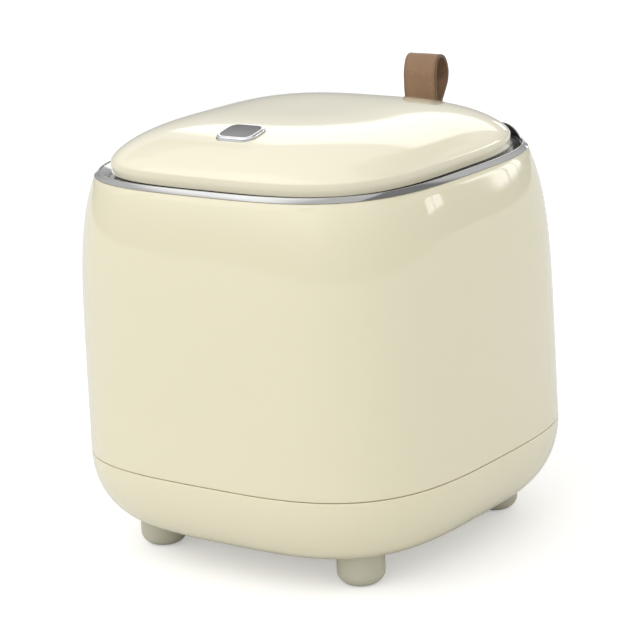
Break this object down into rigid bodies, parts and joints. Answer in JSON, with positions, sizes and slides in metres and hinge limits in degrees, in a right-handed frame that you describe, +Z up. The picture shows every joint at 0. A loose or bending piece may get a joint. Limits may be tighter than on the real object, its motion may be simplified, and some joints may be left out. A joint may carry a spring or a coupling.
{
  "type": "yogurt maker",
  "caption": "Rounded-cube yogurt maker with a hinged domed lid, press-button latch, heated chamber, capped glass jars, feet and a leather carrying loop",
  "frame": {"origin": "on the worktop, in the plane of the four feet, under the middle of the body", "axes": "+Z up; -Y to the front, where the lid's button is; +Y to the hinge and the strap; +X to the right seen from the front"},
  "size_m": [0.19, 0.1966, 0.2078],
  "materials": {
    "cream_gloss": "glossy ivory housing plastic",
    "lid_gloss": "glossy ivory lid plastic",
    "white_plastic": "fine satin texture",
    "grey_plastic": "moulded, fine texture",
    "chrome": "polished plate",
    "button_metal": "satin plate",
    "liner_metal": "drawn, satin anodised",
    "heater_metal": "cast, machined top",
    "tube_metal": "dull sheath",
    "steel": "zinc plated",
    "screw_steel": "zinc plated",
    "strap_metal": "antiqued",
    "brass_pins": "nickelled brass",
    "insulation": "felted fibre",
    "circuit_board": "solder mask",
    "transformer": "taped winding and core",
    "relay": "moulded case",
    "capacitor": "sleeved can",
    "terminal_green": "moulded block",
    "fuse_ceramic": "glazed body",
    "black_plastic": "fine spark texture",
    "rocker_plastic": "polished",
    "latch_plastic": "acetal",
    "lead_insulation": "silicone sleeve",
    "gasket_silicone": "matt silicone",
    "leather": "waxed, painted edges",
    "foot_rubber": "matt soft plastic",
    "jar_glass": "clear pressed glass",
    "cap_plastic": "satin, ribbed"
  },
  "bodies": {
    "housing": {"outer_shell": "cream_gloss", "base_shell": "cream_gloss", "chassis_plate": "grey_plastic", "top_collar": "white_plastic", "trim_ring": "chrome", "liner": "liner_metal", "heater_plate": "heater_metal", "heater_tube": "tube_metal", "thermostat": "steel", "thermostat_bracket": "steel", "thermal_fuse": "fuse_ceramic", "insulation_jacket": "insulation", "control_board": "circuit_board", "board_screws": "screw_steel", "board_transformer": "transformer", "board_relay": "relay", "board_capacitors": "capacitor", "board_terminals": "terminal_green", "rear_panel": "black_plastic", "cord_inlet": "black_plastic", "inlet_pins": "brass_pins", "switch_frame": "black_plastic", "mains_leads": "lead_insulation", "heater_leads": "lead_insulation", "latch_keeper": "steel", "hinge_bracket": "steel", "bracket_screws": "screw_steel", "hinge_pin": "steel", "lid_spring": "steel", "strap_loop": "leather", "strap_stud": "strap_metal", "strap_nut": "strap_metal", "foot_front_left": "foot_rubber", "foot_front_right": "foot_rubber", "foot_back_left": "foot_rubber", "foot_back_right": "foot_rubber", "foot_screws": "screw_steel", "chassis_screws": "screw_steel", "collar_screws": "screw_steel"},
    "lid": {"lid_cover": "lid_gloss", "lid_inner": "white_plastic", "lid_reflector": "liner_metal", "reflector_screw": "screw_steel", "lid_gasket": "gasket_silicone", "lid_screws": "screw_steel", "latch_spring": "steel", "button_springs": "steel", "hinge_leaf": "steel", "leaf_screws": "screw_steel"},
    "button": {"lid_button": "button_metal"},
    "latch": {"latch_hook": "latch_plastic"},
    "rocker": {"switch_rocker": "rocker_plastic"},
    "jar_front_left": {"jar_front_left": "jar_glass"},
    "cap_front_left": {"jar_cap_front_left": "cap_plastic"},
    "jar_front_right": {"jar_front_right": "jar_glass"},
    "cap_front_right": {"jar_cap_front_right": "cap_plastic"},
    "jar_back_left": {"jar_back_left": "jar_glass"},
    "cap_back_left": {"jar_cap_back_left": "cap_plastic"},
    "jar_back_right": {"jar_back_right": "jar_glass"},
    "cap_back_right": {"jar_cap_back_right": "cap_plastic"}
  },
  "joints": [
    {"name": "lid_hinge", "type": "hinge", "parent": "housing", "child": "lid", "pos_m": [0, 0.08, 0.177], "axis": [-1, 0, 0], "range_deg": [0, 68]},
    {"name": "button_press", "type": "slide", "parent": "lid", "child": "button", "axis": [0, 0, -1], "range_m": [0, 0.002], "stiffness_N_per_m": 500, "springref_m": -0.0006, "deforming": ["button_springs", "latch_spring"]},
    {"name": "latch_slide", "type": "slide", "parent": "lid", "child": "latch", "axis": [0, 1, 0], "range_m": [0, 0.002]},
    {"name": "power_rocker", "type": "hinge", "parent": "housing", "child": "rocker", "pos_m": [0.013, 0.0905, 0.068], "axis": [0, 0, -1], "range_deg": [0, 18]},
    {"name": "jar_lift_front_left", "type": "slide", "parent": "housing", "child": "jar_front_left", "axis": [0, 0, 1], "range_m": [0, 0.008]},
    {"name": "cap_turn_front_left", "type": "hinge", "parent": "jar_front_left", "child": "cap_front_left", "pos_m": [-0.0325, -0.0325, 0.15], "axis": [0, 0, 1], "range_deg": [0, 45]},
    {"name": "jar_lift_front_right", "type": "slide", "parent": "housing", "child": "jar_front_right", "axis": [0, 0, 1], "range_m": [0, 0.008]},
    {"name": "cap_turn_front_right", "type": "hinge", "parent": "jar_front_right", "child": "cap_front_right", "pos_m": [0.0325, -0.0325, 0.15], "axis": [0, 0, 1], "range_deg": [0, 45]},
    {"name": "jar_lift_back_left", "type": "slide", "parent": "housing", "child": "jar_back_left", "axis": [0, 0, 1], "range_m": [0, 0.008]},
    {"name": "cap_turn_back_left", "type": "hinge", "parent": "jar_back_left", "child": "cap_back_left", "pos_m": [-0.0325, 0.0325, 0.15], "axis": [0, 0, 1], "range_deg": [0, 45]},
    {"name": "jar_lift_back_right", "type": "slide", "parent": "housing", "child": "jar_back_right", "axis": [0, 0, 1], "range_m": [0, 0.008]},
    {"name": "cap_turn_back_right", "type": "hinge", "parent": "jar_back_right", "child": "cap_back_right", "pos_m": [0.0325, 0.0325, 0.15], "axis": [0, 0, 1], "range_deg": [0, 45]}
  ],
  "couplings": [
    {"joint": "latch_slide", "follows": "button_press", "ratio": 1}
  ]
}
